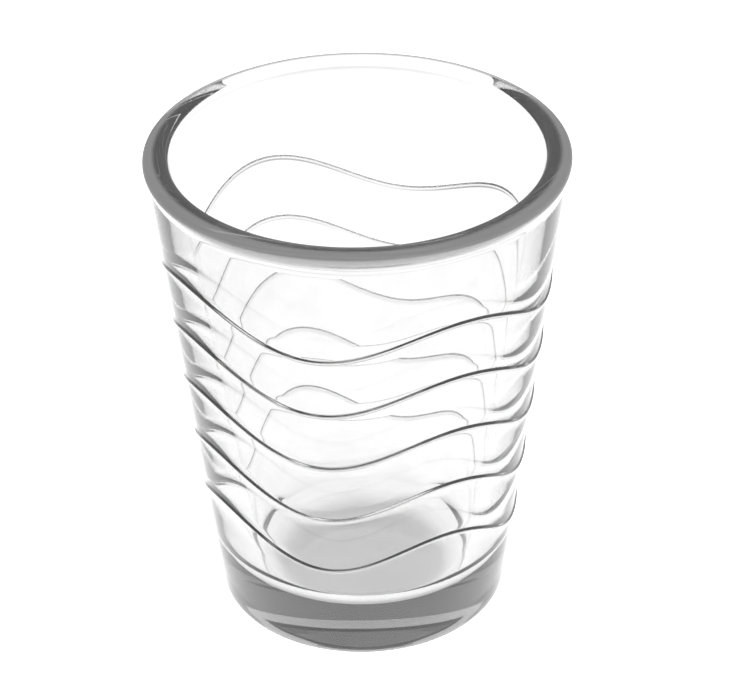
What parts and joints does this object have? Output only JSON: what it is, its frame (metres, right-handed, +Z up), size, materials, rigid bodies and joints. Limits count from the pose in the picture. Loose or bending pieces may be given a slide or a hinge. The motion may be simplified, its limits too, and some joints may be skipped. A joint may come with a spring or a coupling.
{
  "type": "shot glass",
  "caption": "Tapered clear-glass shot glass with a thick base, rounded rim and shallow wavy rings in relief round the wall.",
  "frame": {"origin": "centre of the foot ring, on the surface that the glass stands on", "axes": "+Z up along the glass's axis, -Y towards the side that faces the viewer, +X to that viewer's right"},
  "size_m": [0.0508, 0.0508, 0.0619],
  "materials": {
    "clear_glass": "polished clear soda-lime glass, fire-polished rim"
  },
  "bodies": {
    "root": {"glass_body": "clear_glass"}
  },
  "joints": []
}
